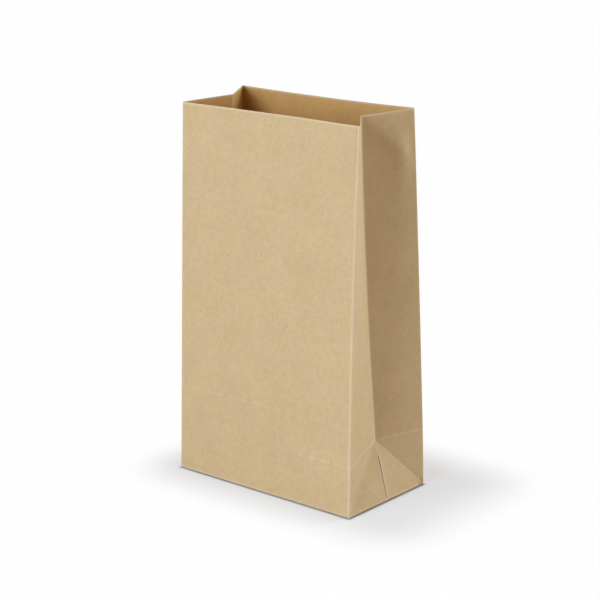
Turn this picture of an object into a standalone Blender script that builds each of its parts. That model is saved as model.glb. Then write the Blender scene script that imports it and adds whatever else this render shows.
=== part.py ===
"""Kraft paper bag that stands open: one folded and pasted sheet.

The bag is a tube of paper with a gusset down each side and a block base. Its skin is lofted
between the fold lines, its folds are rounded and it is given the paper's thickness. The base's
pasted flaps and the lengthwise lap are further layers of the same sheet, joined to the skin.

Metres, +Z up. The front panel faces -Y and the origin is the middle of the base, on the floor.
"""

import bmesh
import bpy
from mathutils import Vector

# Overall size, at the middle of the paper's thickness
BAG_WIDTH = 0.163
BAG_DEPTH = 0.089
BAG_HEIGHT = 0.280

# Paper
PAPER_THICKNESS = 0.00016
CORNER_FOLD_RADIUS = 0.0011
BASE_FOLD_RADIUS = 0.0008
GUSSET_CREASE_RADIUS = 0.0005
SMALL_FOLD_RADIUS = 0.0004
FOLD_STEPS = 3
PASTE_OVERLAP = 0.00002

# Standing shape of the mouth: how far its corners stray from straight above the base
FRONT_MOUTH_DRIFT = 0.0027
BACK_MOUTH_DRIFT = -0.0097
FRONT_LEFT_LEAN = 0.0055
FRONT_RIGHT_LEAN = 0.0049
BACK_LEFT_LEAN = 0.0034
BACK_RIGHT_LEAN = 0.0065
MOUTH_RISE_BACK = 0.0006
MOUTH_RISE_RIGHT = 0.0004
FRONT_MOUTH_HOLLOW = 0.0020
BACK_MOUTH_HOLLOW = 0.0045
FRONT_RIGHT_BOW = 0.0012

# Gussets
GUSSET_POINT_HEIGHT = 0.0437
GUSSET_POINT_INSET = 0.0120
RIGHT_GUSSET_MOUTH_INSET = 0.0214
LEFT_GUSSET_MOUTH_INSET = 0.0175
RIGHT_CREASE_SHIFT = -0.0041
LEFT_CREASE_SHIFT = 0.0035
RIGHT_CREASE_DROP = 0.0011
LEFT_CREASE_DROP = -0.0008
GUSSET_BOW = 0.0019

# Pressed fold lines around the bag
FOLD_LINE_HEIGHT = 0.0433
SECOND_LINE_HEIGHT = 0.0721
FOLD_LINE_DEPTH = 0.0006
SECOND_LINE_DEPTH = 0.0002

# Slits in the gussets' triangles
SLIT_HEIGHT = 0.0330
SLIT_WIDTH = 0.0005

# Pasted base and lengthwise lap
FLAP_LENGTH = 0.0570
BASE_LIP = 0.0030
CORNER_SET_BACK = 0.0006
LAP_WIDTH = 0.0120
LAP_FROM_LEFT = 0.0220
LAP_RUN_OUT = 0.0040

# How finely the panels are divided
PANEL_ROWS = 16
PANEL_COLUMNS = 10
GUSSET_COLUMNS = 5

KRAFT_COLOUR = (0.62, 0.47, 0.29, 1.0)

# Height of the paste-joined layers of the base, counted up from the floor
LAYER_RISE = PAPER_THICKNESS - PASTE_OVERLAP
SKIN_LEVEL = LAYER_RISE + PAPER_THICKNESS / 2
HALF_WIDTH = BAG_WIDTH / 2
HALF_DEPTH = BAG_DEPTH / 2
LAP_PAST_MIDDLE = FLAP_LENGTH - HALF_DEPTH


def clear_scene():
    for old in list(bpy.data.objects):
        bpy.data.objects.remove(old, do_unlink=True)


def new_collection(name):
    collection = bpy.data.collections.new(name)
    bpy.context.scene.collection.children.link(collection)
    return collection


def kraft_material():
    material = bpy.data.materials.new("kraft_paper")
    material.use_nodes = True
    shader = material.node_tree.nodes["Principled BSDF"]
    shader.inputs["Base Color"].default_value = KRAFT_COLOUR
    shader.inputs["Roughness"].default_value = 0.85
    shader.inputs["Metallic"].default_value = 0.0
    material.diffuse_color = KRAFT_COLOUR
    return material


def object_from_bmesh(name, bm, collection):
    mesh = bpy.data.meshes.new(name)
    bm.to_mesh(mesh)
    bm.free()
    piece = bpy.data.objects.new(name, mesh)
    collection.objects.link(piece)
    return piece


def as_tool(piece):
    """A solid that only cuts or joins another."""
    piece.hide_render = True
    piece.display_type = "WIRE"
    return piece


def panel_heights():
    """Heights of the rows that every upright panel is divided at, base to mouth."""
    heights = [SKIN_LEVEL, FOLD_LINE_HEIGHT, SECOND_LINE_HEIGHT]
    step = (BAG_HEIGHT - SECOND_LINE_HEIGHT) / PANEL_ROWS
    heights += [SECOND_LINE_HEIGHT + step * row for row in range(1, PANEL_ROWS + 1)]
    return heights


def bow(share):
    """0 at both ends of a fold line and 1 halfway."""
    return 4 * share * (1 - share)


def corner(side, face, height):
    """Point on an upright corner fold: side is -1 left or 1 right, face -1 front or 1 back."""
    share = (height - SKIN_LEVEL) / (BAG_HEIGHT - SKIN_LEVEL)
    leans = {
        (-1, -1): FRONT_LEFT_LEAN,
        (1, -1): FRONT_RIGHT_LEAN,
        (-1, 1): BACK_LEFT_LEAN,
        (1, 1): BACK_RIGHT_LEAN,
    }
    drift = FRONT_MOUTH_DRIFT if face < 0 else BACK_MOUTH_DRIFT
    x = side * HALF_WIDTH + drift * share
    if (side, face) == (1, -1):
        x -= FRONT_RIGHT_BOW * bow(share)
    y = face * (HALF_DEPTH - leans[side, face] * share)
    z = height + (face * MOUTH_RISE_BACK + side * MOUTH_RISE_RIGHT) * share
    return Vector((x, y, z))


def gusset_point(side):
    """Top of the leaning triangle, where the gusset's centre crease begins."""
    return Vector((side * (HALF_WIDTH - GUSSET_POINT_INSET), 0, GUSSET_POINT_HEIGHT))


def gusset_crease(side, height):
    """Point on a gusset's centre crease, between its triangle and the mouth."""
    inset = RIGHT_GUSSET_MOUTH_INSET if side > 0 else LEFT_GUSSET_MOUTH_INSET
    shift = RIGHT_CREASE_SHIFT if side > 0 else LEFT_CREASE_SHIFT
    front = corner(side, -1, BAG_HEIGHT)
    back = corner(side, 1, BAG_HEIGHT)
    mouth = front.lerp(back, (shift - front.y) / (back.y - front.y))
    mouth.x -= side * inset
    mouth.z -= RIGHT_CREASE_DROP if side > 0 else LEFT_CREASE_DROP
    share = (height - FOLD_LINE_HEIGHT) / (BAG_HEIGHT - FOLD_LINE_HEIGHT)
    point = gusset_point(side).lerp(mouth, share)
    point.x -= side * GUSSET_BOW * bow(share)
    return point


def panel_point(face, across, height):
    """Point on the front or back panel, across running from 0 at the left to 1 at the right."""
    point = corner(-1, face, height).lerp(corner(1, face, height), across)
    share = (height - SKIN_LEVEL) / (BAG_HEIGHT - SKIN_LEVEL)
    hollow = FRONT_MOUTH_HOLLOW if face < 0 else BACK_MOUTH_HOLLOW
    pressed = {FOLD_LINE_HEIGHT: FOLD_LINE_DEPTH, SECOND_LINE_HEIGHT: SECOND_LINE_DEPTH}
    inward = hollow * share**2 * bow(across) + pressed.get(height, 0) * min(1, bow(across))
    point.y -= face * inward
    return point


def gusset_row(side, face, height):
    """Points of one gusset half at one height, from the corner fold to the centre crease."""
    outer = corner(side, face, height)
    inner = gusset_crease(side, height)
    return [outer.lerp(inner, step / GUSSET_COLUMNS) for step in range(GUSSET_COLUMNS + 1)]


class Skin:
    """Open sheet of panels whose shared points are one vertex each."""

    def __init__(self):
        self.bm = bmesh.new()
        self.weight = self.bm.edges.layers.float.new("bevel_weight_edge")
        self.at = {}

    def vertex(self, point):
        key = tuple(round(value, 7) for value in point)
        if key not in self.at:
            self.at[key] = self.bm.verts.new(point)
        return self.at[key]

    def face(self, points):
        return self.bm.faces.new([self.vertex(point) for point in points])

    def grid(self, rows):
        for low, high in zip(rows, rows[1:]):
            for a, b, c, d in zip(low, low[1:], high[1:], high):
                self.face([a, b, c, d])

    def fold(self, points, radius):
        """Marks a line of edges as a fold; its weight scales the Bevel's width."""
        for start, end in zip(points, points[1:]):
            edge = self.bm.edges.get([self.vertex(start), self.vertex(end)])
            edge[self.weight] = radius / CORNER_FOLD_RADIUS


def lap_shares():
    """Where the lap lies across the back panel: free edge, pasted edge, end of its run-out."""
    start = LAP_FROM_LEFT / BAG_WIDTH
    pasted = (LAP_FROM_LEFT + LAP_WIDTH) / BAG_WIDTH
    end = (LAP_FROM_LEFT + LAP_WIDTH + LAP_RUN_OUT) / BAG_WIDTH
    return [start, pasted, end]


def column_shares(face):
    """Divisions across a panel; the back one is also divided along its lap, which lies on it."""
    shares = [step / PANEL_COLUMNS for step in range(PANEL_COLUMNS + 1)]
    if face < 0:
        return shares
    start, _, end = lap_shares()
    return sorted([share for share in shares if not start <= share <= end] + lap_shares())


def panel_rows(face):
    shares = column_shares(face)
    return [[panel_point(face, share, height) for share in shares] for height in panel_heights()]


def add_side(skin, side):
    """One gusset with the triangle at its foot, and its folds."""
    heights = panel_heights()
    base, line = heights[0], heights[1]
    point = gusset_point(side)
    feet = [corner(side, face, base) for face in (-1, 1)]
    skin.face([feet[0], feet[1], point])
    for face, foot in zip((-1, 1), feet):
        rows = [gusset_row(side, face, height) for height in heights[1:]]
        skin.grid(rows)
        skin.face([foot] + rows[0])
        skin.fold([foot, point], SMALL_FOLD_RADIUS)
        skin.fold(rows[0], SMALL_FOLD_RADIUS)
        corners = [corner(side, face, height) for height in heights]
        skin.fold(corners, CORNER_FOLD_RADIUS)
    skin.fold(feet, BASE_FOLD_RADIUS)
    crease = [gusset_crease(side, height) for height in heights[1:]]
    skin.fold(crease, GUSSET_CREASE_RADIUS)


def bag_skin(collection):
    """Panels, gussets and base of the sheet, with its folds rounded and its thickness added."""
    skin = Skin()
    front = panel_rows(-1)
    back = panel_rows(1)
    for rows in (front, back):
        skin.grid(rows)
        skin.fold(rows[0], BASE_FOLD_RADIUS)
    for side in (-1, 1):
        add_side(skin, side)
    skin.face(front[0] + back[0][::-1])
    bmesh.ops.recalc_face_normals(skin.bm, faces=skin.bm.faces)
    bag = object_from_bmesh("paper_bag", skin.bm, collection)

    folds = bag.modifiers.new("rounded folds", "BEVEL")
    folds.limit_method = "WEIGHT"
    folds.width = CORNER_FOLD_RADIUS
    folds.segments = FOLD_STEPS
    facets = bag.modifiers.new("facets", "TRIANGULATE")
    facets.quad_method = "SHORTEST_DIAGONAL"
    sheet = bag.modifiers.new("paper", "SOLIDIFY")
    sheet.thickness = PAPER_THICKNESS
    sheet.offset = 0
    sheet.use_even_offset = True
    return bag


def prism(name, outline, low, high, collection):
    """A flat outline, seen from above, as a solid between two heights."""
    bm = bmesh.new()
    base = bm.faces.new([bm.verts.new((x, y, low)) for x, y in outline])
    raised = bmesh.ops.extrude_face_region(bm, geom=[base])
    top = [item for item in raised["geom"] if isinstance(item, bmesh.types.BMVert)]
    bmesh.ops.translate(bm, verts=top, vec=(0, 0, high - low))
    bmesh.ops.recalc_face_normals(bm, faces=bm.faces)
    return as_tool(object_from_bmesh(name, bm, collection))


def layer(name, outline, level, collection):
    """One layer of paper in the base, level layers up from the floor."""
    low = level * LAYER_RISE
    return prism(name, outline, low, low + PAPER_THICKNESS, collection)


def base_windows(collection):
    """Where the skin's layer of the base is open: beside the folded corners, and behind the
    front flap."""
    low = -PAPER_THICKNESS
    high = 2 * BASE_FOLD_RADIUS
    inner = HALF_WIDTH - BASE_LIP
    windows = []
    for side in (-1, 1):
        reach = HALF_DEPTH - BASE_LIP + CORNER_SET_BACK
        triangle = [(side * inner, -reach), (side * inner, reach), (side * (inner - reach), 0)]
        windows.append(prism("side window", triangle, low, high, collection))
    half = HALF_WIDTH - FLAP_LENGTH + CORNER_SET_BACK
    front_edge = LAP_PAST_MIDDLE
    back_edge = HALF_DEPTH - BASE_LIP
    opening = [(-half, front_edge), (half, front_edge), (half, back_edge), (-half, back_edge)]
    windows.append(prism("back window", opening, low, high, collection))
    return windows


def slit_cutters(collection):
    """Thin blades that slit each triangle from the base up, on the gusset's centre line."""
    cutters = []
    for side in (-1, 1):
        outer = side * (HALF_WIDTH + CORNER_FOLD_RADIUS)
        inner = side * (HALF_WIDTH - GUSSET_POINT_INSET)
        half = SLIT_WIDTH / 2
        blade = [(outer, -half), (outer, half), (inner, half), (inner, -half)]
        cutters.append(prism("slit", blade, -CORNER_FOLD_RADIUS, SLIT_HEIGHT, collection))
    return cutters


def base_flaps(collection):
    """The pasted flaps: the back one lapping from below, and the slit side flaps inside."""
    free = HALF_WIDTH - FLAP_LENGTH
    edge = HALF_DEPTH - BASE_FOLD_RADIUS / 2
    side_edge = HALF_WIDTH - BASE_FOLD_RADIUS / 2
    back = [(-side_edge, edge), (side_edge, edge), (free, -LAP_PAST_MIDDLE), (-free, -LAP_PAST_MIDDLE)]
    flaps = [layer("back flap", back, 0, collection)]
    for side in (-1, 1):
        for face in (-1, 1):
            tongue = [
                (side * side_edge, face * SLIT_WIDTH / 2),
                (side * side_edge, face * edge),
                (side * free, face * edge),
                (side * free, face * SLIT_WIDTH / 2),
            ]
            flaps.append(layer("side flap", tongue, 2, collection))
    return flaps


def lengthwise_lap(collection):
    """The lap down the back panel: one edge free, the other running into the panel."""
    lap_edge = Vector((0, LAYER_RISE, 0))
    run_out = Vector((0, PASTE_OVERLAP, 0))
    lifts = [lap_edge, lap_edge, run_out]
    skin = Skin()
    skin.grid(
        [
            [panel_point(1, share, height) + lift for share, lift in zip(lap_shares(), lifts)]
            for height in panel_heights()
        ]
    )
    bmesh.ops.recalc_face_normals(skin.bm, faces=skin.bm.faces)
    bmesh.ops.triangulate(skin.bm, faces=skin.bm.faces)
    lap = as_tool(object_from_bmesh("lengthwise lap", skin.bm, collection))
    sheet = lap.modifiers.new("paper", "SOLIDIFY")
    sheet.thickness = PAPER_THICKNESS
    sheet.offset = 0
    return lap


def combine(bag, tool, operation):
    step = bag.modifiers.new(tool.name, "BOOLEAN")
    step.operation = operation
    step.solver = "EXACT"
    step.object = tool


def main():
    clear_scene()
    parts = new_collection("paper_bag")
    tools = new_collection("cutters")
    bag = bag_skin(parts)
    for cutter in base_windows(tools) + slit_cutters(tools):
        combine(bag, cutter, "DIFFERENCE")
    for piece in base_flaps(tools) + [lengthwise_lap(tools)]:
        combine(bag, piece, "UNION")
    bag.data.materials.append(kraft_material())


main()
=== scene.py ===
"""Kraft paper bag that stands open: its folded sheet, its paper and a pale studio stage.

The bag is one strip of paper, worked out as positions on the flat sheet and folded by formula.
Run as a script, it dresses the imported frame; its operators and sizes are laid out as an add-on.
"""

import math

import bpy
import numpy as np
from bpy.props import FloatProperty, FloatVectorProperty, PointerProperty
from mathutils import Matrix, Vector


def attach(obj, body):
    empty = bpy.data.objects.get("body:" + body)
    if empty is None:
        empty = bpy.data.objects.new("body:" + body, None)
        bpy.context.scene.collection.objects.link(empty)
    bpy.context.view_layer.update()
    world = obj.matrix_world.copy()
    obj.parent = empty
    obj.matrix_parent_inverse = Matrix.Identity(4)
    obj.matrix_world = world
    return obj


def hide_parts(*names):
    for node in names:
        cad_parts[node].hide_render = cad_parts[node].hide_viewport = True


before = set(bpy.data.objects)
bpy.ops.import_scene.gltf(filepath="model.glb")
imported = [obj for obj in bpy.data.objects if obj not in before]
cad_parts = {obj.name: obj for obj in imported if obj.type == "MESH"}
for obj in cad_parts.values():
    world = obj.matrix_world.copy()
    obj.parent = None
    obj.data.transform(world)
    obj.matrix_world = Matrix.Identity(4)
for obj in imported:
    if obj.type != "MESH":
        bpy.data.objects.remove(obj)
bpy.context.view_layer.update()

bl_info = {
    "name": "Kraft paper bag",
    "version": (1, 0, 0),
    "blender": (4, 5, 0),
    "location": "3D View > Sidebar > Paper bag",
    "description": "Makes an open block-bottom bag of kraft paper, and its studio stage",
    "category": "Add Mesh",
}

# Map of the flat sheet, in metres: round the bag from the front's middle, and up from the base
SHEET_MAP = "sheet"

# How light the line along each kind of fold is, 0 to 1, and half its width: wear and painted
# highlight
FOLD_WEAR_AND_HIGHLIGHTS = {
    # The handled front right fold's line is mostly a painted highlight
    "handled": (1.0, 0.0012),
    "upright": (0.38, 0.0012),
    "base": (0.5, 0.0008),
    "crease": (0.7, 0.0009),
    "centre": (0.35, 0.0008),
    "slit": (0.33, 0.0020),
}

# Half the width of the light line along each kind of cut edge: raised fibres and a painted
# highlight
CUT_EDGES = {"mouth": 0.0009, "flap": 0.0006, "slit": 0.0005, "lap": 0.0004}

# Shade beside the creases on the gussets' back halves: its least level, how far from the crease
# it falls off to that, and the height over which it begins at the fold line
SHADE_LEVEL = 0.5
SHADE_FADE = 0.018
SHADE_START = 0.004

# Painted shadow at the right heel, in levels of that shade, and half its width
HEEL_LEVEL = 5
HEEL_SIZE = 0.0042

# How light each pressed line is, from 0 to 1, and half its width
PRESSED_LINES = {
    "gusset": (0.34, 0.0016),
    "front": (0.40, 0.0016),
    "second": (0.20, 0.0015),
    "diagonal": (0.36, 0.0016),
}

# Patterns in the paper: how many waves in a metre across and up the sheet, how many times they
# halve and how rough that leaves them, and where each begins
PATTERNS = {
    "cloud": (45, 38, 3, 0.5, (0, 0, 0)),
    "tint": (62, 40, 2, 0.5, (17, 5, 0)),
    "patches": (180, 180, 2, 0.5, (2, 13, 0)),
    "formation": (400, 350, 3, 0.55, (3, 7, 0)),
    "grain": (1500, 1100, 2, 0.6, (11, 2, 0)),
    "strands": (2600, 420, 2, 0.5, (5, 31, 0)),
    "cross strands": (520, 2400, 2, 0.5, (23, 13, 0)),
}

# Where each lamp stands, in degrees: round the bag from the front to the right, and up
LAMPS = {"key": (-3, 20), "rim": (150, 20), "high": (0, 89)}

WHITE = (1, 1, 1)

# Points of the sheet in the same cell of this size are one vertex
WELD = 2e-6

# Shares and metres that differ by less are the same place
SAME_SHARE = 1e-4
SAME_PLACE = 1e-9

# No column of the back stands closer to an edge of the lap
LAP_CLEAR = 0.0005

# Samples on each side of the square that rounds the folds
FOLD_SAMPLES = 6

# Waves of the handled paper: their number, their least and greatest length, the length that the
# wave height is for, and how far from the folds and the base they have their full height
WAVES = 14
WAVE_LENGTHS = (0.045, 0.13)
WAVE_LENGTH = 0.09
WAVE_FROM_FOLD = 0.018
WAVE_FROM_BASE = 0.03

# How far down the dent's ridge begins at the crease
LEAST_DROP = 1e-6

# Divisions of the floor outwards and round
FLOOR_RINGS = 24
FLOOR_SPOKES = 96


def kind(made, **fixed):
    """Function that makes a property of one kind from its name, default and description."""

    def make(name, default, description):
        return made(name=name, default=default, description=description, **fixed)

    return make


length = kind(FloatProperty, unit="LENGTH", precision=5)
focal_length = kind(FloatProperty, unit="CAMERA", min=1)
factor = kind(FloatProperty, subtype="FACTOR", min=0, max=1)
power = kind(FloatProperty, unit="POWER", min=0)
angle = kind(FloatProperty, subtype="ANGLE")
colour = kind(FloatVectorProperty, subtype="COLOR", size=3, min=0, max=1)


class BagSizes(bpy.types.PropertyGroup):
    """Sizes of the standing bag, in metres, at the middle of the paper's thickness."""

    width: length("Width", 0.163, "Front panel at the base, between its upright folds")
    depth: length("Depth", 0.089, "Gusset at the base, between its upright folds")
    height: length("Height", 0.280, "Base to mouth")
    paper: length("Paper", 0.00016, "Thickness of the paper")
    ply_rise: length("Ply rise", 0.00018, "From one pasted layer to the next")
    corner_fold: length("Upright folds", 0.0012, "Radius of the four upright folds")
    base_fold: length("Base folds", 0.0009, "Radius of the folds around the base")
    crease_fold: length("Gusset creases", 0.0005, "Radius of the gussets' creases")

    front_drift: length("Front drift", 0.0027, "Mouth's front edge, to the right")
    back_drift: length("Back drift", -0.0097, "Mouth's back edge, to the right")
    front_left_lean: length("Front left lean", 0.0055, "Lean of this mouth corner inwards")
    front_right_lean: length("Front right lean", 0.0049, "Lean of this mouth corner inwards")
    back_left_lean: length("Back left lean", 0.0034, "Lean of this mouth corner inwards")
    back_right_lean: length("Back right lean", 0.0065, "Lean of this mouth corner inwards")
    back_rise: length("Back rise", 0.0006, "Rise of the mouth at the back, and drop in front")
    right_rise: length("Right rise", 0.0004, "Rise of the mouth at the right")
    front_hollow: length("Front hollow", 0.0020, "Sag of the front panel at the mouth")
    back_hollow: length("Back hollow", 0.0045, "Sag of the back panel at the mouth")
    front_right_bow: length("Front right bow", 0.0012, "Bow of the front right fold at half height")
    back_right_bulge: length("Back right bulge", 0.0011, "Back right fold, outwards")
    bulge_ends: factor("Bulge ends", 0.6, "Share of that at the fold's ends")
    bulge_start: length("Bulge start", 0.02, "Height over which it begins")

    point_height: length("Point height", 0.0437, "Point of the gussets' triangles")
    point_inset: length("Point inset", 0.0120, "That point, inwards")
    right_inset: length("Right crease inset", 0.0214, "Right crease at the mouth, inwards")
    left_inset: length("Left crease inset", 0.0175, "Left crease at the mouth, inwards")
    right_shift: length("Right crease shift", -0.0041, "Right crease at the mouth, to the back")
    left_shift: length("Left crease shift", 0.0035, "Left crease at the mouth, to the back")
    right_drop: length("Right crease drop", 0.0011, "Right crease's end, below the corners")
    left_drop: length("Left crease drop", -0.0008, "Left crease's end, below the corners")
    crease_bow: length("Crease bow", 0.0019, "Bow of the creases inwards at half height")

    fold_line: length("Fold line", 0.0433, "Height of the fold line round the bag")
    second_line: length("Second line", 0.0721, "Height of the second, faint pressed line")
    fold_line_depth: length("Fold line depth", 0.0006, "Fold line, inwards")
    second_line_depth: length("Second line depth", 0.0002, "Second line, inwards")
    slit_height: length("Slit height", 0.0330, "Top of the slits in the gussets' triangles")
    slit_width: length("Slit width", 0.00024, "Gap between the two lips of a slit")
    slit_close: length("Slit close", 0.0015, "Over which a slit closes at its top")
    slit_part: length("Slit part", 0.003, "How far from a slit the paper parts")
    lip_stand: length("Lip stand", 0.0003, "Back lip of a slit, outwards")
    lip_width: length("Lip width", 0.012, "Width of the lips")
    lip_start: length("Lip start", 0.004, "Height over which the lips begin")
    flap: length("Flap", 0.0570, "Length of the flaps that close the base")
    lap_width: length("Lap width", 0.0120, "Overlap of the lengthwise pasted lap")
    lap_from_left: length("Lap from left", 0.0220, "Lap's free edge, from the back left fold")
    lap_run_out: length("Lap run-out", 0.0040, "Where the outer ply runs into the panel")
    flap_inset: length("Flap inset", 0.0007, "From the side flaps to the sheet's front and back")

    soft_diagonal: length("Soft diagonal", 0.0012, "Valley along the feet's front diagonals")
    soft_width: factor("Soft width", 0.20, "Half that valley's width, as a share of the foot")
    soft_round: factor("Soft round", 0.30, "How round the feet's front diagonals are")
    wave_height: length("Wave height", 0.00012, "Height of a 90 mm wave of the handled paper")
    dent_length: length("Dent length", 0.0400, "Dent below the mouth, from the right crease")
    dent_drop: length("Dent drop", 0.0370, "Fall of the dent's ridge over its length")
    dent_fade: length("Dent fade", 0.0170, "Over which the dent fades beneath its ridge")
    dent_slope: factor("Dent slope", 0.145, "How far the dent stands out for its depth")
    mesh_step: length("Mesh step", 0.0028, "Spacing of rows and columns")
    flap_step: length("Flap step", 0.0048, "Spacing of rows in the flaps")


class PaperLooks(bpy.types.PropertyGroup):
    """Finish of the kraft paper."""

    kraft: colour("Kraft", (0.640, 0.497, 0.306), "Body colour of the paper")
    # The inner side's warmer, darker colour is painted shade for the bag's inside
    inside: colour("Inside", (0.655, 0.410, 0.165), "Body colour of the paper's inner side")
    fibre_dark: colour("Dark fibre", (0.46, 0.33, 0.18), "Bark and coarse fibres in the paper")
    # Also the colour of the painted highlights along the folds
    light_fibre_and_highlight: colour("Light fibre", (0.82, 0.71, 0.54), "Fibres raised on worn folds")
    # Raised fibres and the painted highlight along cut edges
    cut_edge_and_highlight: colour("Cut edge", (0.82, 0.72, 0.55), "Fibres raised on cut edges")
    # Colour of the painted shade beside the creases and the painted shadow at the heel
    shaded: colour("Shaded", (0.36, 0.17, 0.0), "Paper beside the creases and at the heel")
    line_drop: length("Line drop", 0.0058, "Pressed lines on the front, downwards")
    clouding: factor("Clouding", 0.34, "Uneven dye, over centimetres")
    formation: factor("Formation", 0.46, "Uneven thickness of the pulp, over millimetres")
    roughness: factor("Roughness", 0.80, "Matte finish")
    relief: length("Relief", 0.00006, "Depth of the surface's grain")


class StageLooks(bpy.types.PropertyGroup):
    """Floor, lamps and camera of the studio."""

    floor: colour("Floor", (0.82, 0.82, 0.82), "Pale floor, as it lights the bag")
    floor_seen: colour("Floor seen", (0.72, 0.80, 0.97), "Pale floor, as the camera sees its shade")
    floor_radius: length("Floor radius", 14.0, "Fills the picture behind the bag")
    floor_gap: length("Floor gap", 0.0003, "Between the floor and the bag's base")
    floor_white: factor("Floor white", 0.985, "Share of plain white in the far floor, as seen")
    near_white: factor("Near white", 0.40, "The same share on the floor beside the bag")
    edge_white: factor("Edge white", 0.02, "The same share where the bag meets the floor")
    # Painted contact shadow: a dark line along the base
    contact_shadow_level: factor("Edge level", 0.50, "Level of the dark line along the base")
    edge_width: length("Edge width", 0.0018, "Width of that line")
    # Less plain white near the bag shows the floor's own shadow; the ring it leaves, moved right
    # and back, is partly painted shade
    contact_width: length("Contact width", 0.003, "Width of the floor's darkest border")
    shade_start: length("Shade start", 0.002, "From the bag to where its shaded border thins")
    shade_reach: length("Shade reach", 0.070, "Width of the shaded border")
    shade_right: length("Shade to the right", 0.018, "That border, to the right")
    shade_back: length("Shade to the back", 0.017, "That border, to the back")

    world: factor("World", 0.18, "Level of the even light all round")
    world_tint: colour("World tint", (1.0, 0.69, 0.41), "Colour of the even light")
    key: power("Key", 45.0, "Power of the lamp at the front")
    key_tint: colour("Key tint", (0.92, 0.985, 1.0), "Colour of the lamp at the front")
    rim: power("Rim", 46.0, "Power of the lamp at the back right")
    rim_tint: colour("Rim tint", (0.97, 1.0, 0.955), "Colour of the lamp at the back right")
    high: power("High", 18.0, "Power of the lamp overhead")
    high_tint: colour("High tint", (1.0, 0.80, 0.62), "Colour of the lamp overhead")
    lamp_size: length("Lamp size", 1.6, "Side of each square lamp")
    lamp_distance: length("Lamp distance", 2.6, "From each lamp to the middle of the bag")

    lens: focal_length("Lens", 110.96, "Focal length in millimetres")
    azimuth: angle("Azimuth", math.radians(39.80), "Camera, round from the front to the right")
    elevation: angle("Elevation", math.radians(15.49), "Camera, above the floor")
    distance: length("Distance", 1.3516, "From the camera to the point that it looks at")
    aim_right: length("Aim right", -0.0008, "That point, to the right of the middle")
    aim_height: length("Aim height", 0.1363, "That point, above the floor")


def bow(share):
    """0 at both ends of a fold and 1 halfway."""
    return 4 * share * (1 - share)


def step_up(value, low, high):
    """0 below low, 1 above high, and a smooth rise of 3t^2 - 2t^3 between."""
    t = np.clip((value - low) / (high - low), 0, 1)
    return t * t * (3 - 2 * t)


def bell(value, width):
    """exp(-(value / width)^2), a soft ridge about 0."""
    return np.exp(-((value / width) ** 2))


def wear_and_highlight_line(kind, distance):
    """Light line along this kind of fold, at a distance from it: wear and painted highlight."""
    level, width = FOLD_WEAR_AND_HIGHLIGHTS[kind]
    return level * bell(distance, width)


def point(x, y, z):
    """Positions from their three coordinates."""
    return np.stack(np.broadcast_arrays(x, y, z), axis=-1)


def between(start, end, share):
    """Straight line from start to end, where share is 0 to 1."""
    return start + (end - start) * np.asarray(share)[..., None]


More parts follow.
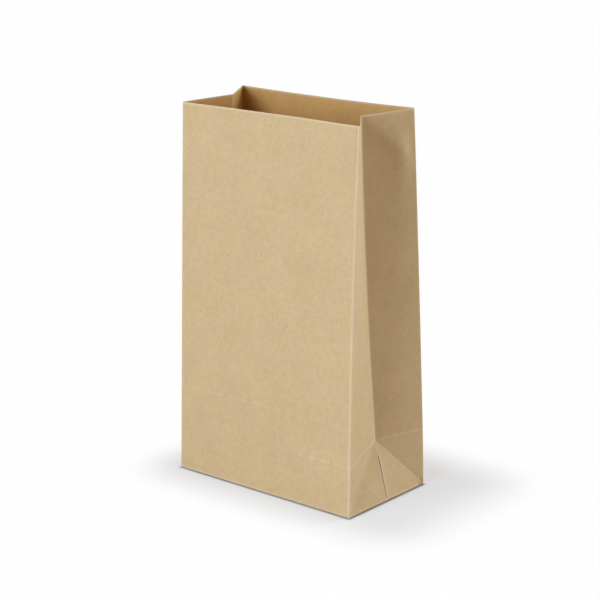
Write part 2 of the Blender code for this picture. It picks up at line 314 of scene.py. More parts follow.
class Form:
    """Where each point of the flat sheet lies in the folded bag.

    A point on the sheet is given by its panel's face, -1 front or 1 back; by c, the distance
    across the sheet from the middle of that panel, so that c past half the width lies on a
    gusset; and by v, the distance up the sheet from the fold round the base, negative beneath.
    """

    def __init__(self, sizes):
        """Levels are those of the base's layers: the back's flap, the front's and the sides'."""
        self.s = sizes
        self.half_width = sizes.width / 2
        self.half_depth = sizes.depth / 2
        self.centre = self.half_width + self.half_depth
        lowest = sizes.paper / 2
        self.levels = {1: lowest, -1: lowest + sizes.ply_rise, 0: lowest + 2 * sizes.ply_rise}
        self.skin_level = self.levels[-1]
        self.rise = sizes.height - self.skin_level
        self.line = sizes.fold_line - self.skin_level
        self.lap_edge = -self.half_width + sizes.lap_from_left
        self.lap_end = self.lap_edge + sizes.lap_width

    def corner(self, side, face, v):
        """Straight line from a corner of the base to the mouth's corner above it, which drifts
        sideways and leans inwards; the front right one bows and the back right one stands out."""
        s = self.s
        share = v / self.rise
        leans = [[s.front_left_lean, s.front_right_lean], [s.back_left_lean, s.back_right_lean]]
        lean = leans[face > 0][side > 0]
        x = side * self.half_width + (s.front_drift if face < 0 else s.back_drift) * share
        if (side, face) == (1, -1):
            x = x - s.front_right_bow * bow(share)
        if (side, face) == (1, 1):
            level = s.bulge_ends + (1 - s.bulge_ends) * bow(share)
            x = x + s.back_right_bulge * step_up(v, 0, s.bulge_start) * level
        y = face * (self.half_depth - lean * share)
        return point(x, y, self.skin_level + v + (face * s.back_rise + side * s.right_rise) * share)

    def apex(self, side):
        """Point of the triangle at a gusset's foot."""
        s = self.s
        return np.array([side * (self.half_width - s.point_inset), 0, s.point_height])

    def crease(self, side, v):
        """Line from the triangle's point to the mouth, which bows inwards."""
        s = self.s
        front, back = (self.corner(side, face, np.float64(self.rise)) for face in (-1, 1))
        shift = s.right_shift if side > 0 else s.left_shift
        mouth = front + (back - front) * (shift - front[1]) / (back[1] - front[1])
        mouth[0] -= side * (s.right_inset if side > 0 else s.left_inset)
        mouth[2] -= s.right_drop if side > 0 else s.left_drop
        share = (self.skin_level + v - s.fold_line) / (s.height - s.fold_line)
        line = between(self.apex(side), mouth, share)
        line[..., 0] -= side * s.crease_bow * bow(share)
        return line

    def pressed(self, v):
        """Depth of the pressed lines: straight slopes through their depths at their heights."""
        s = self.s
        past = s.second_line + (s.height - s.second_line) / 16
        heights = [self.skin_level, s.fold_line, s.second_line, past]
        depths = [0, s.fold_line_depth, s.second_line_depth, 0]
        return np.interp(self.skin_level + v, heights, depths)

    def panel(self, face, c, v):
        """Ruled surface between two upright folds, less a sag that grows with the square of the
        height and the pressed lines."""
        s = self.s
        across = np.clip(c / s.width + 0.5, 0, 1)
        sheet = between(self.corner(-1, face, v), self.corner(1, face, v), across)
        hollow = s.front_hollow if face < 0 else s.back_hollow
        share = v / self.rise
        inward = hollow * share**2 * bow(across) + self.pressed(v) * np.minimum(1, bow(across))
        sheet[..., 1] -= face * inward
        return sheet

    def gusset(self, side, face, across, v):
        """Gusset half, across running from 0 at the upright fold to 1 at the centre. Above the
        fold line it is ruled from fold to crease. Below, it is the triangle's plane plus a bend
        along the diagonal: sharp at the back, and at the front rounded, with a shallow valley."""
        s = self.s
        upper = between(self.corner(side, face, v), self.crease(side, v), across)
        foot = self.corner(side, face, np.float64(0))
        other_foot = self.corner(side, -face, np.float64(0))
        middle = (foot + other_foot) / 2
        top = self.corner(side, face, np.float64(self.line))
        apex = self.apex(side)
        up = np.clip(v / self.line, 0, 1)
        bend = (top - foot) - (apex - middle)
        past = up - across
        round_off = s.soft_round * bow(up) * bow(across) if face < 0 else 0
        bent = (past + np.sqrt(past**2 + round_off**2)) / 2
        lower = foot + (middle - foot) * across[..., None] + (apex - middle) * up[..., None]
        lower = lower + bend * bent[..., None]
        if face < 0:
            hold = bow(up) * np.minimum(1, 2 * bow(across))
            lower[..., 0] -= side * s.soft_diagonal * bell(past, s.soft_width) * hold
        return np.where((v > self.line)[..., None], upper, lower)

    def standing(self, face, c, v):
        """The sheet above the base, with sharp folds, before its unevenness. A point past the
        gusset's centre belongs to the other face's half."""
        v = np.asarray(v) + 0 * c
        sheet = self.panel(face, c, v)
        level = np.full(v.shape, self.levels[face] - self.skin_level)
        for side in (-1, 1):
            out = side * c - self.half_width
            share = out / self.half_depth
            half = self.gusset(side, face, np.clip(share, 0, 1), v)
            over = self.gusset(side, -face, np.clip(2 - share, 0, 1), v)
            half = np.where((out > self.half_depth)[..., None], over, half)
            sheet = np.where((out > 0)[..., None], half, sheet)
            level = np.where(out > 0, self.levels[0] - self.skin_level, level)
        sheet[..., 2] += level * (1 - v / self.rise)
        return sheet

    def flap(self, face, c, v, ply):
        """A panel's flap in the base."""
        spots = self.beneath(face, np.clip(c, -self.half_width, self.half_width), -v)
        if ply < 0:
            spots[..., 2] += self.lap_rise(spots[..., 0])
        return spots

    def tongue(self, face, c, v, ply):
        """Half of a side flap in the base, from the slit to just inside the panel's flap."""
        spots = self.beneath(face, c + np.sign(c) * SAME_PLACE, -v)
        edge = self.half_depth - self.s.flap_inset
        spots[..., 1] = face * np.clip(np.abs(spots[..., 1]), self.s.slit_width / 2, edge)
        return spots

    def beneath(self, face, c, t):
        """The sheet turned in under the bag, t from the fold: the panel's flap is cut at 45
        degrees by holding x inside half the width less t, and a gusset goes straight in."""
        x = np.clip(c, -(self.half_width - t), self.half_width - t)
        flap = point(x, face * (self.half_depth - t), self.levels[face] + 0 * t)
        out = np.abs(c) - self.half_width
        side = np.sign(c)
        x = side * (self.half_width - t)
        tongue = point(x, face * (self.half_depth - out), self.levels[0] + 0 * t)
        return np.where((out > 0)[..., None], tongue, flap)

    def folded(self, face, c, v):
        """Every fold rounded: the mean of the sharp sheet over a square of the fold's radius,
        taken only near an upright fold, a crease or the fold round the base."""
        s = self.s
        c, v = np.broadcast_arrays(np.asarray(c, float), np.asarray(v, float))
        from_corner, from_centre = self.from_folds(c)
        reach_c = np.where(from_corner <= s.corner_fold, s.corner_fold, 0)
        above = self.skin_level + v >= s.point_height
        reach_c = np.where((from_centre <= s.crease_fold) & above, s.crease_fold, reach_c)
        reach_v = np.where(np.abs(v) <= s.base_fold, s.base_fold, 0)
        offsets = (np.arange(FOLD_SAMPLES) + 0.5) / FOLD_SAMPLES * 2 - 1
        total = 0
        for a in offsets:
            for b in offsets:
                cc = c + a * reach_c
                vv = v + b * reach_v
                up = self.standing(face, cc, np.maximum(vv, 0))
                under = self.beneath(face, cc, np.maximum(-vv, 0))
                total = total + np.where((vv < 0)[..., None], under, up)
        return total / FOLD_SAMPLES**2

    def from_folds(self, c):
        """Distances across the sheet to the nearest upright fold and to the nearest crease."""
        return np.abs(np.abs(c) - self.half_width), np.abs(np.abs(c) - self.centre)

    def waves(self, face, c, v):
        """Unevenness of handled paper: a sum of long cosine waves in fixed directions, held to
        nothing at the folds, the base and the mouth's corners."""
        rng = np.random.RandomState(7 if face < 0 else 11)
        total = 0
        for _ in range(WAVES):
            wave = rng.uniform(*WAVE_LENGTHS)
            turn = rng.uniform(0, np.pi)
            phase = rng.uniform(0, 2 * np.pi)
            along = c * np.cos(turn) + v * np.sin(turn)
            height = rng.uniform(0.5, 1) * wave / WAVE_LENGTH
            total = total + height * np.cos(2 * np.pi * along / wave + phase)
        from_fold = np.minimum(*self.from_folds(c))
        hold = step_up(from_fold, 0, WAVE_FROM_FOLD) * step_up(v, 0, WAVE_FROM_BASE)
        return self.s.wave_height * total * hold

    def dent(self, face, c, v):
        """The form that handling left, below the mouth on the right gusset's back half: a facet
        that stands out more with the depth, down to a slanting ridge, and fades beneath it."""
        s = self.s
        if face < 0:
            return 0 * c
        out = c - self.half_width
        top = self.rise - v
        along = (self.half_depth - out) / s.dent_length
        ridge = np.maximum(s.dent_drop * along, LEAST_DROP)
        height = s.dent_slope * np.minimum(top, ridge)
        height = height * np.exp(-np.maximum(top - ridge, 0) / s.dent_fade)
        return np.where(out > 0, height * step_up(1.08 - along, 0, 0.4), 0)

    def surface(self, face, c, v, ply):
        """Folded sheet with its unevenness, moved outwards. The lap's outer ply (ply 1) is
        raised over the inner one (ply -1) by one ply rise, running out into the panel. The lips
        of a slit part by its width; the back one stands out, and the front one stands in by a
        third of that."""
        s = self.s
        c, v = np.broadcast_arrays(np.asarray(c, float), np.asarray(v, float))
        sheet = self.folded(face, c, v)
        out = self.waves(face, c, v) + self.dent(face, c, v)
        on_gusset = np.abs(c) > self.half_width
        sheet[..., 1] += np.where(on_gusset, 0, face * out)
        sheet[..., 0] += np.where(on_gusset, np.sign(c) * out, 0)
        if ply > 0:
            run_out = step_up(c, self.lap_end, self.lap_end + s.lap_run_out)
            sheet[..., 1] += s.ply_rise * (1 - run_out)
        if ply < 0:
            sheet[..., 2] += self.lap_rise(c) * (1 - step_up(v, 0, s.base_fold * 2))
        slit = np.clip((s.slit_height - self.skin_level - v) / s.slit_close, 0, 1)
        parted = slit * step_up(np.abs(c), self.centre - s.slit_part, self.centre)
        sheet[..., 1] += face * parted * s.slit_width / 2
        lip = slit * step_up(np.abs(c), self.centre - s.lip_width, self.centre)
        stand = s.lip_stand if face > 0 else -s.lip_stand / 3
        sheet[..., 0] += np.sign(c) * lip * step_up(v, 0, s.lip_start) * stand
        return sheet

    def lap_rise(self, c):
        """How far the lap's inner ply lies above the outer one in the base: nothing left of the
        lap, and one ply rise from its edge on."""
        return self.s.ply_rise * step_up(c, self.lap_edge - self.s.lap_run_out, self.lap_edge)


def spread(start, stop, step, near_start=(), near_stop=()):
    """Stations from start to stop: close ones at each end, and even steps between."""
    low = start + max(near_start, default=0)
    high = stop - max(near_stop, default=0)
    even = np.linspace(low, high, max(2, int(round((high - low) / step)) + 1))
    ends = [start] + [start + n for n in near_start] + [stop - n for n in near_stop] + [stop]
    return np.unique(np.round(np.concatenate([even, ends]), 9))


def sheet_stations(form):
    """Columns of a gusset half and of a panel, rows up the sheet, and the row that a slit ends
    at. Below the fold line the rows stand at the same shares as a gusset half's columns, so that
    a diagonal of the cells follows the triangle's edge."""
    s = form.s
    r = s.corner_fold
    near_fold = [r / 3, 2 * r / 3, r, 2 * r]
    near_crease = [s.crease_fold / 2, s.crease_fold, 0.0015]
    near_line = [0.0005, 0.0012]
    near_mouth = [0.0003, 0.0007, 0.0018]
    half = spread(0, form.half_depth, s.mesh_step, near_fold, near_crease)
    panel = spread(-form.half_width, form.half_width, s.mesh_step, near_fold, near_fold)
    second = s.second_line - form.skin_level
    lower = half / form.half_depth * form.line
    middle = spread(form.line, second, s.mesh_step, near_line, near_line)
    upper = spread(second, form.rise, s.mesh_step, near_line, near_mouth)
    rows = np.unique(np.round(np.concatenate([lower, middle, upper]), 9))
    base = -s.base_fold * np.array([1, 2 / 3, 1 / 3])
    slit = s.slit_height - form.skin_level
    nearest = np.argmin(np.abs(rows - slit))
    return half, panel, np.concatenate([base, rows]), rows[nearest]


class SheetMesh:
    """Gathers grids of the sheet, welds their shared edges and makes one mesh of them."""

    def __init__(self, form):
        self.form = form
        self.points, self.map, self.marks, self.cells, self.sharp = [], [], [], [], []
        self.count = 0

    def marks_at(self, face, c, v, cut):
        """How light the paper's wear and painted highlights are, and how near a cut edge, both 0 to
        1, and how deep its painted shade. The shade is 1 at a crease on its back side, falls off
        from there, and is deeper in the painted shadow at the right heel."""
        form = self.form
        from_corner, from_centre = form.from_folds(c)
        handled, upright = wear_and_highlight_line("handled", from_corner), wear_and_highlight_line("upright", from_corner)
        rising = step_up(v, 0.02, form.line) * (v <= form.line)
        back_lip = (face > 0) & (v > 0) & (v < form.s.slit_height)
        folds = [
            np.where((face < 0) & (c > 0), handled, upright),
            wear_and_highlight_line("base", v - 0.0006),
            wear_and_highlight_line("crease", from_centre) * (v > form.line),
            wear_and_highlight_line("centre", from_centre) * rising,
            wear_and_highlight_line("slit", from_centre - 0.001) * back_lip,
        ]
        on_gusset = (face > 0) & (np.abs(c) > form.half_width)
        # Painted shade on the gussets' back halves, deepest beside the creases
        shade = SHADE_LEVEL + (1 - SHADE_LEVEL) * np.exp(-from_centre / SHADE_FADE)
        shade = shade * on_gusset * step_up(v, form.line - SHADE_START, form.line)
        # Painted shadow at the right heel
        heel = bell(np.hypot(from_corner, v - 0.001), HEEL_SIZE) * (c > 0) * (face > 0)
        # Wear and painted highlights along the folds, held off the heel's painted shadow
        worn = np.maximum.reduce(folds) * (1 - heel)
        return np.stack([worn, cut, np.maximum(shade, HEEL_LEVEL * heel)], axis=-1)

    def grid(self, face, ply, columns, rows, place, cut, beneath=False):
        """One grid of the sheet. place gives the positions of columns and rows, and cut how near
        they are to a cut edge. A grid beneath the bag joins the sheet above in its last row. In
        the others, the cells that the gussets' triangles' edges cross are split there, and the
        back edges are sharp."""
        form = self.form
        c, v = np.meshgrid(columns, rows)
        spots = place(face, c, v, ply)
        index = self.count + np.arange(c.size).reshape(c.shape)
        a, b, d, e = index[:-1, :-1], index[:-1, 1:], index[1:, 1:], index[1:, :-1]
        cells = np.stack([a, b, d, e], axis=-1)
        parts = [cells]
        if beneath:
            spots[-1] = form.surface(face, c[-1], v[-1], ply)
        else:
            across = (np.abs(c) - form.half_width) / form.half_depth
            share = v / form.line
            on = np.abs(across - share) < SAME_SHARE
            on &= (share > -SAME_SHARE) & (share < 1 + SAME_SHARE)
            rising = on[:-1, :-1] & on[1:, 1:]
            falling = on[:-1, 1:] & on[1:, :-1]
            parts += [np.stack([a, d, e, e], -1)[rising], np.stack([b, d, e, e], -1)[falling]]
            cells[rising] = np.stack([a, b, d, d], -1)[rising]
            cells[falling] = np.stack([a, b, e, e], -1)[falling]
            if face > 0:
                self.sharp += [np.stack([a, d], -1)[rising], np.stack([b, e], -1)[falling]]
        flat = np.concatenate([part.reshape(-1, 4) for part in parts])
        around = c if face < 0 else 2 * form.centre - c
        self.points.append(spots.reshape(-1, 3))
        self.map.append(np.stack([around, v], axis=-1).reshape(-1, 2))
        self.marks.append(self.marks_at(face, c, v, cut(c, v)).reshape(-1, 3))
        self.cells.append(flat if face < 0 else flat[:, ::-1])
        self.count += c.size

    def finish(self, name):
        """Welds the points at one place, drops cells without area, and makes the mesh with its
        map and marks."""
        spots = np.concatenate(self.points)
        keys = np.round(spots / WELD).astype(np.int64)
        _, first, joined = np.unique(keys, axis=0, return_index=True, return_inverse=True)
        joined = joined.reshape(-1)
        cells = np.concatenate(self.cells)
        welded = joined[cells]
        keep = welded != np.roll(welded, 1, axis=1)
        pinched = (welded[:, 0] == welded[:, 2]) | (welded[:, 1] == welded[:, 3])
        whole = (keep.sum(1) >= 3) & ~(pinched & (keep.sum(1) == 4))
        welded, cells, keep = welded[whole], cells[whole], keep[whole]
        corners = welded[keep]
        sizes = keep.sum(1)
        starts = np.concatenate([[0], np.cumsum(sizes)[:-1]])

        mesh = bpy.data.meshes.new(name)
        mesh.vertices.add(len(first))
        mesh.vertices.foreach_set("co", spots[first].ravel())
        mesh.loops.add(len(corners))
        mesh.loops.foreach_set("vertex_index", corners.astype(np.int32))
        mesh.polygons.add(len(sizes))
        mesh.polygons.foreach_set("loop_start", starts.astype(np.int32))
        mesh.update(calc_edges=True)
        uv = mesh.uv_layers.new(name=SHEET_MAP)
        uv.data.foreach_set("uv", np.concatenate(self.map)[cells[keep]].ravel())
        marks = np.zeros((len(first), 3))
        np.maximum.at(marks, joined, np.concatenate(self.marks))
        for number, mark in enumerate(("worn", "cut", "shaded")):
            layer = mesh.attributes.new(mark, "FLOAT", "POINT")
            layer.data.foreach_set("value", marks[:, number].astype(np.float32))
        self.sharpen(mesh, joined)
        mesh.polygons.foreach_set("use_smooth", np.ones(len(sizes), bool))
        if mesh.validate():
            raise RuntimeError(f"{name}: the mesh has faulty cells")
        return mesh

    def sharpen(self, mesh, joined):
        """Marks the cut edges, which belong to one cell only, and the sharp folds as sharp."""
        ends = np.zeros(len(mesh.edges) * 2, np.int32)
        mesh.edges.foreach_get("vertices", ends)
        edge_of_loop = np.zeros(len(mesh.loops), np.int32)
        mesh.loops.foreach_get("edge_index", edge_of_loop)
        cut = np.bincount(edge_of_loop, minlength=len(mesh.edges)) == 1
        pair_number = np.array([len(mesh.vertices), 1])
        edges = np.sort(ends.reshape(-1, 2), axis=1) @ pair_number
        folds = np.sort(joined[np.concatenate(self.sharp)], axis=1) @ pair_number
        mesh.edges.foreach_set("use_edge_sharp", cut | np.isin(edges, folds))


def folded_sheet(sizes):
    """The whole bag as one strip: the front with half of each gusset, the back in two parts
    that lap, and below each the flaps that close the base."""
    form = Form(sizes)
    half, panel, rows, slit_row = sheet_stations(form)
    right = form.half_width + half[1:]
    left = -right[::-1]
    sheet = SheetMesh(form)

    def slit_edge(c):
        return bell(np.abs(c) - form.centre, CUT_EDGES["slit"])

    def mouth_and_slit(c, v):
        return np.maximum(bell(form.rise - v, CUT_EDGES["mouth"]), slit_edge(c) * (v < slit_row))

    def mouth_slit_and_lap(c, v):
        return np.maximum(mouth_and_slit(c, v), bell(c - form.lap_edge, CUT_EDGES["lap"]))

    def flap_edge(c, v):
        return bell(v + sizes.flap, CUT_EDGES["flap"])

    def tongue_edge(c, v):
        return np.maximum(flap_edge(c, v), slit_edge(c))

    to_lap = panel[panel < form.lap_end - LAP_CLEAR]
    from_lap = panel[panel > form.lap_edge + LAP_CLEAR]
    plies = [
        (-1, 0, np.concatenate([left, panel, right]), mouth_and_slit),
        (1, -1, np.concatenate([left, to_lap, [form.lap_end]]), mouth_and_slit),
        (1, 1, np.concatenate([[form.lap_edge], from_lap, right]), mouth_slit_and_lap),
    ]
    flap_rows = -spread(sizes.base_fold, sizes.flap, sizes.flap_step, [0.0012])[::-1]
    for face, ply, columns, cut in plies:
        sheet.grid(face, ply, columns, rows, form.surface, cut)
        inner = columns[np.abs(columns) <= form.half_width + SAME_PLACE]
        sheet.grid(face, ply, inner, flap_rows, form.flap, flap_edge, beneath=True)
        for side in (-1, 1):
            outer = columns[side * columns >= form.half_width - SAME_PLACE]
            if len(outer):
                sheet.grid(face, ply, outer, flap_rows, form.tongue, tongue_edge, beneath=True)
    return sheet.finish("folded_sheet")


class Paint:
    """A socket of a node tree. Python expressions of Paint and numbers add Math nodes, and
    node() adds any other node."""

    def __init__(self, tree, socket=None):
        self.tree = tree
        self.socket = socket

    def node(self, kind, settings=None, inputs=None, output=0):
        """New node with these settings and inputs, as the Paint of one of its outputs."""
        made = self.tree.nodes.new(kind)
        for name, value in (settings or {}).items():
            setattr(made, name, value)
        for name, value in (inputs or {}).items():
            self.join(made.inputs[name], value)
        return Paint(self.tree, made.outputs[output] if made.outputs else None)

    def output(self, name):
        """Another output of the same node."""
        return Paint(self.tree, self.socket.node.outputs[name])

    def join(self, socket, value):
        if isinstance(value, Paint):
            self.tree.links.new(value.socket, socket)
        elif socket.type == "RGBA":
            socket.default_value = (*value, 1)
        else:
            socket.default_value = value

    def maths(self, operation, first, second=0.0):
        return self.node("ShaderNodeMath", {"operation": operation}, {0: first, 1: second})

    def __add__(self, other):
        return self.maths("ADD", self, other)

    __radd__ = __add__

    def __mul__(self, other):
        return self.maths("MULTIPLY", self, other)

    __rmul__ = __mul__

    def __sub__(self, other):
        return self.maths("SUBTRACT", self, other)

    def __rsub__(self, other):
        return self.maths("SUBTRACT", other, self)

    def __pow__(self, power):
        return self.maths("POWER", self, power)

    def __abs__(self):
        return self.maths("ABSOLUTE", self)

    def at_least(self, other):
        """The greater of this and other."""
        return self.maths("MAXIMUM", self, other)

    def above(self, low, high):
        """0 where this is below low, 1 where it is above high, and smooth between."""
        settings = {"interpolation_type": "SMOOTHSTEP"}
        inputs = {"Value": self, "From Min": low, "From Max": high}
        return self.node("ShaderNodeMapRange", settings, inputs)

    def mix(self, kind, share, first, second):
        """Colour mix of first and second."""
        settings = {"data_type": "RGBA", "blend_type": kind}
        return self.node("ShaderNodeMix", settings, {0: share, 6: first, 7: second}, output=2)


def paint_for(owner):
    """Paint that adds nodes to a material or a world, from an empty tree."""
    owner.use_nodes = True
    owner.node_tree.nodes.clear()
    return Paint(owner.node_tree)


def pressed_lines(paint, flat, looks, sizes, patches):
    """Thin lines on the sheet's own map, each 1 at its middle and 0 at its edges. Light ones
    follow the back diagonals of the gussets' feet and the two pressed lines, which run lower and
    broken on the front; a dark one, a painted shadow of a faint crease, runs beside the front
    panel's right fold below the mouth."""
    place = paint.node("ShaderNodeSeparateXYZ", inputs={"Vector": flat})
    around, up = place.output("X"), place.output("Y")
    half_width, half_depth = sizes.width / 2, sizes.depth / 2
    line = sizes.fold_line - sizes.paper / 2 - sizes.ply_rise
    front_line = line - looks.line_drop
    front_second = front_line + sizes.second_line - sizes.fold_line

    def thin(value, width):
        return 1.0 - abs(value).above(0.0, width)

    def light(kind, value):
        level, width = PRESSED_LINES[kind]
        return thin(value, width) * level

    from_back = abs(around - 2 * (half_width + half_depth))
    off_front = abs(around).above(half_width - 0.001, half_width)
    off_back = from_back.above(half_width - 0.001, half_width)
    gusset = off_front * off_back
    to_front = 1.0 - abs(around).above(half_width, half_width + half_depth)
    broken = patches.above(0.30, 0.62) * (1.0 - off_front)
    to_right = around.above(-0.01, 0.06)
    diagonal = (from_back - half_width) * (line / half_depth)
    foot = up.above(0.0, 0.001) * (1.0 - up.above(line, line + 0.0005)) * gusset
    band = light("gusset", up - line + looks.line_drop * to_front) * gusset
    band = band + light("front", up - front_line) * to_right * broken
    band = band + light("second", up - front_second) * broken
    band = band + light("diagonal", diagonal - up) * foot
    # Painted shadow of a faint crease beside the front right fold
    beside = thin(around - (half_width - 0.0026), 0.0009) * up.above(0.225, 0.262)
    return band, beside


def kraft_paper(looks, sizes):
    """Unbleached kraft paper. The sheet's own map carries clouding over centimetres, patches and
    formation over millimetres, coarse fibres along and across the web and fine grain. Folds and
    cut edges are lighter, where fibres stand up and with painted highlights; the gussets' back
    halves beside the creases, the heel and a line by the front right fold take painted shade; and
    the side that faces in is warmer and darker, a painted shade of the bag's inside."""
    material = bpy.data.materials.new("kraft_paper")
    paint = paint_for(material)
    flat = paint.node("ShaderNodeUVMap", {"uv_map": SHEET_MAP})

    def noise(across, along, detail, rough, start):
        mapping = {"Vector": flat, "Scale": (across, along, 1), "Location": start}
        stretched = paint.node("ShaderNodeMapping", {"vector_type": "POINT"}, mapping)
        inputs = {"Vector": stretched, "Scale": 1.0, "Detail": detail, "Roughness": rough}
        return paint.node("ShaderNodeTexNoise", {"noise_dimensions": "2D"}, inputs)

    def mark(name):
        return paint.node("ShaderNodeAttribute", {"attribute_name": name}, output="Fac")

    pattern = {name: noise(*values) for name, values in PATTERNS.items()}

    def varied(value, shares):
        """Value, and these shares of the patterns' way from their mean."""
        for name, share in shares.items():
            value = value + (pattern[name] - 0.5) * share
        return value

    broad = {"cloud": 0.34 * looks.clouding, "formation": 0.36 * looks.formation}
    tone = varied(1.0, {**broad, "grain": 0.08, "patches": 0.12, "cross strands": 0.10})
    blue = varied(tone, {"tint": 0.20, "patches": 0.08})
    channels = {"Red": tone, "Green": tone, "Blue": blue}
    uneven = paint.node("ShaderNodeCombineColor", inputs=channels)
    # The side that faces in takes the painted shade of the bag's inside
    body = paint.mix("MIX", mark("inside"), looks.kraft, looks.inside)
    base = paint.mix("MULTIPLY", 1.0, body, uneven)

    grain, strands = pattern["grain"], pattern["strands"]
    cross_strands = pattern["cross strands"]
    dark = strands.above(0.60, 0.74) * 0.35 + cross_strands.above(0.64, 0.78) * 0.25
    pale = (1.0 - strands).above(0.62, 0.76) * 0.25
    base = paint.mix("MIX", dark, base, looks.fibre_dark)
    base = paint.mix("MIX", pale, base, looks.light_fibre_and_highlight)

    band, beside = pressed_lines(paint, flat, looks, sizes, pattern["patches"])
    # Wear and painted highlights on the folds, and the pressed lines, in light fibre colour
    worn = mark("worn").at_least(band)
    shade = mark("shaded") * 0.17 + beside * 0.18
    base = paint.mix("MIX", shade, base, looks.shaded)
    base = paint.mix("MIX", worn * (0.68 + 0.4 * grain), base, looks.light_fibre_and_highlight)
    # Cut edges lighter: raised fibres and a painted highlight
    base = paint.mix("MIX", mark("cut") * 0.75, base, looks.cut_edge_and_highlight)

    height = pattern["formation"] * 0.9 + grain * 0.5 + strands * 0.45 + cross_strands * 0.3
    height = height + worn * grain * 0.6
    relief = {"Strength": 0.6, "Distance": looks.relief, "Height": height}
    bump = paint.node("ShaderNodeBump", inputs=relief)
    rough = varied(looks.roughness, {"formation": 0.16}) + worn * 0.06
    finish = {"Base Color": base, "Roughness": rough, "Normal": bump, "Specular IOR Level": 0.32}
    shader = paint.node("ShaderNodeBsdfPrincipled", inputs=finish)
    paint.node("ShaderNodeOutputMaterial", inputs={"Surface": shader})
    return material


def studio_floor(looks, sizes):
    """Pale floor that keeps the bag's shadow. The camera, and anything glossy or clear, sees it
    mixed with plain white, more with the distance from the bag's base, and darker in a thin line
    along the base, a painted contact shadow. The light that it returns to the bag is the floor's
    own."""
    material = bpy.data.materials.new("studio_floor")
    paint = paint_for(material)
    spots = paint.node("ShaderNodeTexCoord", output="Object")
    place = paint.node("ShaderNodeSeparateXYZ", inputs={"Vector": spots})
    path = paint.node("ShaderNodeLightPath", output="Is Camera Ray")
    seen = path.at_least(path.output("Is Glossy Ray")).at_least(path.output("Is Transmission Ray"))

    def outside(moved):
        """Distance outside the base's rectangle, after it has moved by so much in x and y."""
        total = 0.0
        for axis, half in enumerate((sizes.width / 2, sizes.depth / 2)):
            past = (abs(place.output(axis) - moved[axis]) - half).at_least(0.0)
            total = past * past + total
        return total**0.5

    beside = outside((0, 0))
    # Painted contact shadow along the base, seen by the camera
    painted_contact_shadow = [looks.contact_shadow_level * level for level in looks.floor_seen]
    edge = paint.mix("MIX", beside.above(0.0, looks.edge_width), painted_contact_shadow, looks.floor_seen)
    plain = paint.mix("MIX", seen, looks.floor, edge)
    clouds = {"Vector": spots, "Scale": 1.5, "Detail": 2.0}
    speckle = paint.node("ShaderNodeTexNoise", inputs=clouds)
    duller = paint.mix("MULTIPLY", 1.0, plain, (0.97, 0.97, 0.97))
    shade = paint.mix("MIX", speckle * 0.2, plain, duller)
    dull = {"Base Color": shade, "Roughness": 0.9, "Specular IOR Level": 0.1}
    matte = paint.node("ShaderNodeBsdfPrincipled", inputs=dull)
    white = paint.node("ShaderNodeEmission", inputs={"Color": WHITE, "Strength": 1.0})

    rise = looks.near_white - looks.edge_white
    contact = looks.edge_white + rise * beside.above(0.0, looks.contact_width)
    # Shaded border: the floor's real shadow, and a darker ring moved right and back, which is
    # partly painted shade
    shaded_border = outside((looks.shade_right, looks.shade_back))
    open_floor = shaded_border.above(looks.shade_start, looks.shade_reach)
    share = seen * (contact + (looks.floor_white - looks.near_white) * open_floor)
    mixed = paint.node("ShaderNodeMixShader", inputs={0: share, 1: matte, 2: white})
    paint.node("ShaderNodeOutputMaterial", inputs={"Surface": mixed})
    return material


def floor_disc(radius, level):
    """Disc of rings whose radius grows as the square of the ring's share."""
    radii = radius * np.linspace(0, 1, FLOOR_RINGS + 1)[1:] ** 2
    turns = np.linspace(0, 2 * np.pi, FLOOR_SPOKES, endpoint=False)
    r, turn = np.meshgrid(radii, turns, indexing="ij")
    ring = point(r * np.cos(turn), r * np.sin(turn), level)
    spots = np.concatenate([[[0, 0, level]], ring.reshape(-1, 3)])
    index = 1 + np.arange(r.size).reshape(r.shape)
    after = np.roll(index, -1, axis=1)
    quads = np.stack([index[:-1], index[1:], after[1:], after[:-1]], axis=-1).reshape(-1, 4)
    middle = np.stack([0 * index[0], index[0], after[0]], axis=-1)
    mesh = bpy.data.meshes.new("studio_floor")
    mesh.from_pydata(spots.tolist(), [], middle.tolist() + quads.tolist())
    return mesh


def link(name, data):
    """New object with this data in the scene."""
    made = bpy.data.objects.new(name, data)
    bpy.context.scene.collection.objects.link(made)
    return made


def aim(thing, target, azimuth, elevation, distance):
    """Puts a lamp or a camera at this distance from target, in the direction of the two angles,
    and turns it to look there. Azimuth 0 is in front, and 90 degrees is at the right."""
    out = math.cos(elevation)
    away = Vector((math.sin(azimuth) * out, -math.cos(azimuth) * out, math.sin(elevation)))
    thing.location = Vector(target) + away * distance
    thing.rotation_euler = away.to_track_quat("Z", "Y").to_euler()


def soft_lamps(looks, target):
    """Square lamps that look at target."""
    for name, angles in LAMPS.items():
        lamp = bpy.data.lights.new(f"{name}_lamp", "AREA")
        lamp.shape = "SQUARE"
        lamp.size = looks.lamp_size
        lamp.energy = getattr(looks, name)
        lamp.color = getattr(looks, f"{name}_tint")
        azimuth, elevation = (math.radians(value) for value in angles)
        aim(link(lamp.name, lamp), target, azimuth, elevation, looks.lamp_distance)


def even_light(looks):
    """World that lights the bag evenly, and that the camera sees as plain white."""
    world = bpy.data.worlds.new("studio")
    paint = paint_for(world)
    light = {"Color": looks.world_tint, "Strength": looks.world}
    even = paint.node("ShaderNodeBackground", inputs=light)
    white = paint.node("ShaderNodeBackground", inputs={"Color": WHITE, "Strength": 1.0})
    seen = paint.node("ShaderNodeLightPath", output="Is Camera Ray")
    mixed = paint.node("ShaderNodeMixShader", inputs={0: seen, 1: even, 2: white})
    paint.node("ShaderNodeOutputWorld", inputs={"Surface": mixed})
    return world


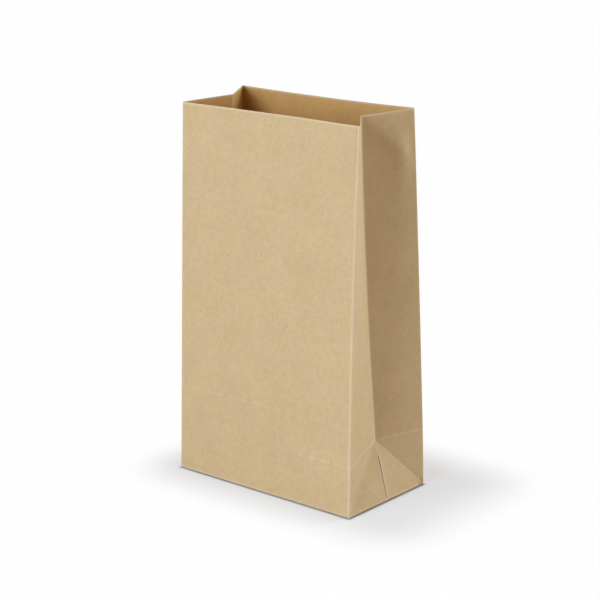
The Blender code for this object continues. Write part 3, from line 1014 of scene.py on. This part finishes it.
def studio_camera(looks):
    """Camera at the photograph's viewing angle."""
    data = bpy.data.cameras.new("camera")
    data.sensor_width = 36
    data.lens = looks.lens
    camera = link("camera", data)
    target = (looks.aim_right, 0, looks.aim_height)
    aim(camera, target, looks.azimuth, looks.elevation, looks.distance)
    return camera


def thicken(sheet, paper):
    """Gives the sheet its thickness, half to each side, and marks the side that faces in."""
    wall = sheet.modifiers.new("paper", "SOLIDIFY")
    wall.thickness = paper
    wall.offset = 0
    wall.use_even_offset = False
    outer = len(sheet.data.vertices)
    made = sheet.evaluated_get(bpy.context.evaluated_depsgraph_get())
    sheet.data = bpy.data.meshes.new_from_object(made)
    sheet.modifiers.clear()
    sheet.data.name = sheet.name
    inside = sheet.data.attributes.new("inside", "FLOAT", "POINT")
    faces_in = np.arange(len(sheet.data.vertices)) >= outer
    inside.data.foreach_set("value", faces_in.astype(np.float32))


class PAPERBAG_OT_sheet(bpy.types.Operator):
    """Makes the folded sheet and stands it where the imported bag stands."""

    bl_idname = "paperbag.sheet"
    bl_label = "Folded sheet"

    def execute(self, context):
        sizes = context.scene.bag_sizes
        sheet = link("folded_sheet", folded_sheet(sizes))
        sheet.data.materials.append(kraft_paper(context.scene.paper_looks, sizes))
        thicken(sheet, sizes.paper)
        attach(sheet, "root")
        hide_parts("paper_bag")
        return {"FINISHED"}


class PAPERBAG_OT_stage(bpy.types.Operator):
    """Makes the pale floor, the soft lamps, the even light all round and the camera."""

    bl_idname = "paperbag.stage"
    bl_label = "Studio stage"

    def execute(self, context):
        scene = context.scene
        looks, sizes = scene.stage_looks, scene.bag_sizes
        floor = link("studio_floor", floor_disc(looks.floor_radius, -looks.floor_gap))
        floor.data.materials.append(studio_floor(looks, sizes))
        soft_lamps(looks, (0, 0, sizes.height / 2))
        scene.world = even_light(looks)
        scene.camera = studio_camera(looks)
        scene.view_settings.view_transform = "Standard"
        return {"FINISHED"}


class PAPERBAG_PT_sidebar(bpy.types.Panel):
    """Lists the bag's operators and sizes."""

    bl_idname = "PAPERBAG_PT_sidebar"
    bl_label = "Paper bag"
    bl_space_type = "VIEW_3D"
    bl_region_type = "UI"
    bl_category = "Paper bag"

    def draw(self, context):
        layout = self.layout
        for operator in OPERATORS:
            layout.operator(operator.bl_idname)
        for name, group in GROUPS.items():
            column = layout.column()
            for value in group.__annotations__:
                column.prop(getattr(context.scene, name), value)


GROUPS = {"bag_sizes": BagSizes, "paper_looks": PaperLooks, "stage_looks": StageLooks}
OPERATORS = (PAPERBAG_OT_sheet, PAPERBAG_OT_stage)
CLASSES = (*GROUPS.values(), *OPERATORS, PAPERBAG_PT_sidebar)


def register():
    for made in CLASSES:
        bpy.utils.register_class(made)
    for name, group in GROUPS.items():
        setattr(bpy.types.Scene, name, PointerProperty(type=group))


def unregister():
    for name in GROUPS:
        delattr(bpy.types.Scene, name)
    for made in reversed(CLASSES):
        bpy.utils.unregister_class(made)


def main():
    register()
    bpy.ops.paperbag.sheet()
    bpy.ops.paperbag.stage()


if __name__ == "__main__":
    main()
